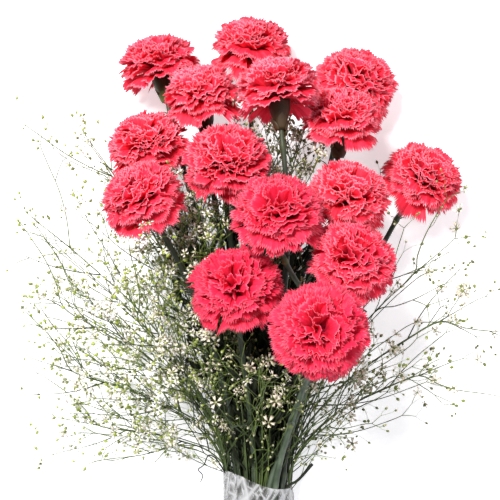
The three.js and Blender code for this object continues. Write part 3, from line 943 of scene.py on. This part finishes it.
def twig_points(rng, start, way, length, bow, steps):
    """A short twig that bows to one side, up from the table."""
    aside = unit(np.cross(way, rng.normal(size=3)))
    shares = np.linspace(0, 1, steps + 1)[:, None]
    points = start + way * length * shares + aside * bow * length * shares**2
    lift(points, TWIG_LEVEL)
    return points


def raised(level, soft):
    """Heights kept above the table, with those near it drawn up smoothly."""
    least = 1.5 * MM
    return least + soft * np.logaddexp(0, (level - least) / soft)


def flower_head(rng, build, at, way):
    """A bud or an open flower at the end of a stalk."""
    # Own: a random tone, with painted shade in the heart of the bunch and fresh lime and white in
    # front at the left.
    own = blend(0.55 * rng.uniform(), 0.35 + 0.65 * rng.uniform(), freshness_and_light(at))
    length = rng.uniform(2.6, 4.6) * MM
    points, faces = BUD_SHAPE
    placed = (points * length) @ facing(way).T + at
    build.add(placed, faces, marked(points[:, 2], own), BUD_SLOT)
    if rng.uniform() > blend(0.16, 0.36, freshness_and_light(at)):
        return
    own = max(own, rng.uniform() * blend(0.6, 1.0, freshness_and_light(at)))
    width = rng.uniform(8, 13) * MM
    tilt = facing(unit(way + 0.6 * rng.normal(size=3) + (0, 0, 0.4)))
    points, faces = FLORET_PETAL
    spin, cup = rng.uniform(0, 6), rng.uniform(0.2, 1.8)
    for i in range(5):
        turn = turning(UP, spin + 2 * math.pi / 5 * (i + rng.uniform(-0.15, 0.15)))
        petal = points * (1, 1.2, cup * rng.uniform(0.6, 1.4)) * rng.uniform(0.8, 1.1)
        placed = (petal @ turn.T * width) @ tilt.T + at + way * 0.5 * length
        lift(placed, LEAF_LEVEL)
        build.add(placed, faces, marked(np.clip(points[:, 0] * 2, 0, 1), own), FLORET_SLOT)


def grow(rng, build, start, way, length, forks, age_and_shade):
    """A twig that forks again and again, and ends in buds and flowers."""
    bow = rng.uniform(-0.2, 0.2) if forks else rng.uniform(-0.45, 0.45)
    points = twig_points(rng, start, way, length, bow, 2 if forks else 4)
    if not free(points[-1]):
        return
    thick = (0.19 + 0.11 * forks) * MM
    shape, faces = tube(points, np.linspace(thick, thick * 0.8, len(points)), 4 if forks else 3)
    ages_and_shade = np.repeat(np.linspace(age_and_shade, age_and_shade + 0.15, len(points)), len(shape) // len(points))
    build.add(shape, faces, marked(ages_and_shade, rng.uniform()), STALK_SLOT)
    end, way = points[-1], unit(points[-1] - points[-2])
    if forks == 0:
        flower_head(rng, build, end, way)
        return
    opening = unit(np.cross(way, rng.normal(size=3)))
    for hand in (-1, 1):
        lean = math.radians(rng.uniform(14, 48)) * hand
        shorter = length * rng.uniform(0.5, 1.0)
        grow(rng, build, end, turning(opening, lean) @ way, shorter, forks - 1, age_and_shade + 0.15)
    if rng.uniform() < 0.4:
        straight = unit(way + 0.3 * rng.normal(size=3))
        grow(rng, build, end, straight, length * rng.uniform(0.3, 0.7), 0, age_and_shade + 0.3)


def shoots(rng, build, row, first, gap, length, age_and_shade):
    """Forked twigs along a stalk, at alternating sides, and one at its tip."""
    steps = np.linalg.norm(np.diff(row, axis=0), axis=1)
    run = np.concatenate([[0], np.cumsum(steps)])
    at, roll = first * run[-1], rng.uniform(0, 6)
    while at < run[-1] - 3 * MM:
        point, after = (
            np.array([np.interp(x, run, row[:, k]) for k in range(3)]) for x in (at, at + 2 * MM)
        )
        way = unit(after - point)
        side = turning(way, roll) @ unit(np.cross(way, UP + 0.01))
        size = length * rng.uniform(0.6, 1.4)
        out = unit(way + side * rng.uniform(0.45, 0.95))
        grow(rng, build, point, out, size, rng.choice([1, 2, 2]), age_and_shade)
        roll += math.pi + rng.uniform(-0.7, 0.7)
        at += gap * rng.uniform(0.6, 1.4) * sparseness(point)
    grow(rng, build, row[-1], unit(row[-1] - row[-2]), length, 2, age_and_shade)


def stalk(rng, build, row, thick, tip, age_and_shade):
    """A tapering stalk, dark at its foot, partly as older growth and partly as painted shade in the
    heart of the bunch, and brighter towards its tip the higher the last number is.
    """
    shape, faces = tube(row, np.linspace(thick, tip, len(row)), 6)
    ages_and_shade = np.repeat(np.linspace(0, age_and_shade, len(row)), 6)
    build.add(shape, faces, marked(ages_and_shade, rng.uniform()), STALK_SLOT)


def side_twigs(rng, row):
    """Twigs for a stalk that has none of its own, as rows of points."""
    made = []
    for share, hand in zip((0.5, 0.6, 0.7, 0.79, 0.88), (1, -1, 1, -1, 1)):
        at = int(share * (len(row) - 1))
        if rng.uniform() * sparseness(row[at]) > 1.6:
            continue
        way = unit(row[at + 1] - row[at - 1])
        out = turning(way, rng.uniform(-1.2, 1.2)) @ unit(np.cross(way, UP)) * hand
        size = rng.uniform(70, 115) * MM * (1.3 - share)
        shares = np.linspace(0, 1, 6)[:, None]
        points = row[at] + (way * shares * 0.8 + out * (0.8 * shares - 0.2 * shares**2)) * size
        lift(points, STALK_LEVEL)
        if free(points[-1]) and free(points[3]):
            made.append(points)
    return made


def low_stalk(rng, build):
    """A stalk low in the heart of the bunch, with narrow near-black leaves in pairs, painted shade
    that darkens the heart, and a few flowers. Millimetres, until its points are made into a row."""
    reach = 250 - 160 * rng.uniform() ** 1.5
    bearing, out = rng.uniform(0, 2 * math.pi), math.sqrt(rng.uniform())
    across = out * math.cos(bearing)
    in_mouth = (NECK_SPREAD * across, -NECK_DEPTH, NECK_SPREAD * out * math.sin(bearing))
    neck = np.array([AXIS_X, SLEEVE_HIGH.y, AXIS_Z]) / MM + in_mouth
    foot = neck - (0, FOOT_DEPTH, 0)
    rise = neck + (across * (4 + 0.1 * reach), 0.5 * reach, rng.uniform(-12, 14))
    tip = neck + (across * (14 + 0.26 * reach) + rng.uniform(-12, 6), reach, rng.uniform(-35, 36))
    row = smooth(np.array([foot, neck, rise, tip]) * MM, 8 * MM)
    lift(row, STALK_LEVEL)
    stalk(rng, build, row, 0.75 * MM, 0.35 * MM, 0.25)
    points, faces = BLADE_SHAPE
    for share in np.linspace(0.28, 0.95, BLADE_PAIRS):
        at = int(share * (len(row) - 2))
        way = unit(row[at + 1] - row[at])
        lean = rng.uniform(0, math.pi)
        grown = smoothstep(row[at][1] - SLEEVE_HIGH.y, -20 * MM, 40 * MM)
        for half in (0, math.pi):
            size = rng.uniform(26, 52) * blend(0.3, 1.0, grown) * (1 - 0.45 * abs(across)) * MM
            tilt = facing(way) @ turning(UP, lean + half) @ turning((1, 0, 0), -rng.uniform(0.1, 0.6))
            placed = (points * (1.1, 1, 1) * size) @ tilt.T + row[at]
            placed[:, 2] = raised(placed[:, 2], 5 * MM)
            marks = marked(np.clip(points[:, 2], 0, 1), rng.uniform())
            build.add(placed, faces, marks, BLADE_SLOT)
    shoots(rng, build, row, 0.5, 40 * MM, 16 * MM, 0.2)


# Two old ends that stand out of the film's mouth, each on one spray: a cut twig on its right and a
# curled tendril on its left. Points in millimetres from the axis at the mouth's low side, and radii.
OLD_ENDS = {
    "babys_breath_13": ([(20, -6, 14), (26, 4, 16), (35, 10, 19), (47, 24, 22)], 1.1, 1.4),
    "babys_breath_01": ([(-26, 10, 8), (-36, 27, 14), (-43, 31, 18), (-47, 23, 20), (-52, 19, 20),
                         (-48, 14, 20), (-50, 8, 20)], 0.7, 0.4),
}


def old_end(build, points, thick, tip):
    mouth = np.array([AXIS_X, SLEEVE_HIGH.y - MOUTH_SLANT, AXIS_Z])
    row = smooth(np.array(points) * MM + mouth, 2 * MM)
    shape, faces = tube(row, np.linspace(thick, tip, len(row)) * MM, 8)
    build.add(shape, faces, marked(np.repeat(np.linspace(0, 1, len(row)), 8), 0.5), BLADE_SLOT)


def spray(name):
    """One spray of baby's breath: its stalk and twigs as they are laid, more stalks beside them, and
    all their forked twigs, buds and flowers, with leafy stalks low in the bunch whose near-black
    leaves are painted shade."""
    rng = np.random.default_rng(SPRAY_DRAWS + number(name))
    build = Build()
    rows = [smooth(row, 6 * MM) for row in limbs(name, 1.5 * MM)]
    stalk(rng, build, rows[0], SPRAY_RADIUS, 0.45 * MM, 0.6)
    shoots(rng, build, rows[0], 0.36, 13 * MM, 18 * MM, 0.4)
    for row in rows[1:]:
        stalk(rng, build, row, 0.6 * MM, 0.3 * MM, 0.6)
        shoots(rng, build, row, 0.25, 12 * MM, 15 * MM, 0.5)
    run = np.linspace(0, 1, len(rows[0]))[:, None]
    for _ in range(COMPANIONS.get(name, FEW_COMPANIONS)):
        drift = rng.uniform(-1, 1, 3) * (30, 6, 24) * MM
        start = rng.uniform(-1, 1, 3) * (1.6, 0, 1.6) * MM
        row = rows[0] + start + drift * smoothstep(run, 0.25, 1.0) * rng.uniform(0.6, 1)
        lift(row, STALK_LEVEL)
        row = row[: int(len(row) * rng.uniform(0.75, 1))]
        stalk(rng, build, row, 0.75 * SPRAY_RADIUS, 0.35 * MM, 0.6)
        shoots(rng, build, row, 0.36, 14 * MM, 17 * MM, 0.4)
        for twig in side_twigs(rng, row):
            stalk(rng, build, twig, 0.45 * MM, 0.28 * MM, 0.6)
            shoots(rng, build, twig, 0.3, 13 * MM, 14 * MM, 0.5)
    for _ in range(LOW_STALKS):
        low_stalk(rng, build)
    if name in OLD_ENDS:
        old_end(build, *OLD_ENDS[name])
    settle(build.piece(name + "_growth", [STALK, BUD, FLORET, BLADE]), "spray", name)


for name in SPRAYS:
    spray(name)

# ---------------- film and elastic band

FILM_TURNS = 1.3
FILM_THICKNESS = 0.1 * MM
SEAM = 2.2  # the sheet's inner edge, as an angle round the sleeve
WAIST_LENGTH = 16 * MM  # how far from the band the film is drawn in
LARGE_CREASE = 15 * MM
SMALL_CREASE = 5.5 * MM
WALL = 0.9 * MM  # how far inside the plain solids' outside the film and the band run
FILM_RADIUS = (SLEEVE_HIGH.x - SLEEVE_LOW.x) / 2 - WALL
BAND_LOW, BAND_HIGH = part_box("elastic_band")
BAND_Y = (BAND_LOW.y + BAND_HIGH.y) / 2
BAND_RADIUS = (BAND_HIGH.x - BAND_LOW.x) / 2 - WALL


def crease(around, along, size, seed):
    """How far, from 0 to 1, a place on the film is from the nearest sharp crease. The facets between
    the creases are drawn out aslant."""
    place = Vector(((around + 0.5 * along) / size, (along - 0.35 * around) / (2.2 * size), seed))
    near, _ = noise.voronoi(place)
    return min(1.0, (near[1] - near[0]) * 1.6)


def film():
    """The sleeve: one sheet of crinkled film, wrapped more than once round the stems, drawn in
    under the band, with a slanted and uneven mouth."""
    deselect()
    bpy.ops.mesh.primitive_grid_add(x_subdivisions=220, y_subdivisions=90, size=2)
    points, faces = taken(bpy.context.object)
    length = SLEEVE_HIGH.y - SLEEVE_LOW.y - MOUTH_SLANT
    build = Build()
    placed, marks = [], []
    for across, up, _ in points:
        share = (across + 1) / 2
        turn = 2 * math.pi * FILM_TURNS * share + SEAM
        along = (up + 1) / 2
        waist = math.exp(-(((along * length + SLEEVE_LOW.y - BAND_Y) / WAIST_LENGTH) ** 2))
        around = turn * FILM_RADIUS
        large = crease(around, along * length, LARGE_CREASE, 3.7)
        small = crease(around, along * length, SMALL_CREASE, 9.1)
        radius = blend(FILM_RADIUS, BAND_RADIUS - 1.2 * MM, waist) - 0.9 * MM * share
        radius -= (1.7 * MM * (1 - large) + 0.6 * MM * (1 - small)) * (1 - 0.7 * waist)
        edge = MOUTH_SLANT * (1 - math.cos(turn)) / 2 * smoothstep(along, 0.4, 1.0)
        edge += 1.6 * MM * math.sin(turn * 3 + 1) * smoothstep(along, 0.8, 1.0)
        y = SLEEVE_LOW.y + along * length + edge
        placed.append((AXIS_X + radius * math.cos(turn), y, AXIS_Z + radius * math.sin(turn)))
        marks.append((large, small, share))
    build.add(np.array(placed), faces, np.array(marks))
    sheet_piece = build.piece("film_wrap", [FILM])
    apply(sheet_piece, "SOLIDIFY", thickness=FILM_THICKNESS, offset=0)
    settle(sheet_piece, "film", "film_sleeve")


# The band's turns: how far each is along the sleeve in millimetres, by how many degrees it leans, to
# which side, and its growth mark.
BAND_TURNS = [(-2.1, 1.6, 0.4, 0.2), (0.2, -2.0, 2.2, 0.7), (2.2, 1.1, 4.0, 0.5)]


def elastic_band():
    """A flat rubber band that goes three times round, its turns lying a little askew."""
    deselect()
    bpy.ops.mesh.primitive_torus_add(major_segments=96, minor_segments=10, major_radius=BAND_RADIUS,
                                     minor_radius=0.8 * MM, rotation=(math.pi / 2, 0, 0))
    ring, faces = taken(bpy.context.object)
    build = Build()
    for shift, lean, roll, own in BAND_TURNS:
        turn = turning((math.cos(roll), 0, math.sin(roll)), math.radians(lean))
        local = ring @ turning((1, 0, 0), math.pi / 2).T
        placed = (local * (1, 1.5, 1)) @ turn.T + (AXIS_X, BAND_Y + shift * MM, AXIS_Z)
        bearing = np.arctan2(local[:, 2], local[:, 0]) / (2 * math.pi) + 0.5
        build.add(placed, faces, marked(bearing, own))
    settle(build.piece("band_turns", [RUBBER]), "band", "elastic_band")


film()
elastic_band()

# ---------------- table and light


def plain(name, colour, roughness, glow):
    """A plain surface that gives off a little light of its own, which keeps its shadows pale."""
    finish = Finish(name, roughness, Emission_Color=(*colour, 1), Emission_Strength=glow)
    where = finish.nodes.new("ShaderNodeTexCoord")
    grain = finish.nodes.new("ShaderNodeTexNoise")
    grain.inputs["Scale"].default_value = 3
    finish.links.new(where.outputs["Object"], grain.inputs["Vector"])
    darker = tuple(level * 0.99 for level in colour)
    finish.colour(finish.ramp(grain.outputs["Fac"], [(0.3, colour), (0.7, darker)]))
    return finish.material


deselect()
bpy.ops.mesh.primitive_plane_add(size=8, location=(0, 0, -0.2 * MM))
table = bpy.context.object
table.name = "table"
table.data.materials.append(plain("table", (0.93, 0.93, 0.955), 0.9, glow=0.56))


def area_light(name, place, target, size, power, colour):
    light = bpy.data.lights.new(name, "AREA")
    light.shape, light.size, light.energy, light.color = "SQUARE", size, power, colour
    lamp = bpy.data.objects.new(name, light)
    lamp.location = place
    lamp.rotation_euler = (Vector(target) - Vector(place)).to_track_quat("-Z", "Y").to_euler()
    link(lamp)


area_light("key", (-0.75, 1.05, 2.4), (0, 0.05, 0.05), 0.6, 124, (1.0, 0.985, 0.965))
area_light("fill", (1.2, -0.8, 2.3), (0, 0, 0.05), 1.6, 20, (0.96, 0.975, 1.0))
world = bpy.data.worlds.new("studio")
world.use_nodes = True
sky = world.node_tree.nodes["Background"].inputs
sky["Color"].default_value = (0.97, 0.975, 1.0, 1)
sky["Strength"].default_value = 0.25
bpy.context.scene.world = world
bpy.context.scene.view_settings.view_transform = "Standard"
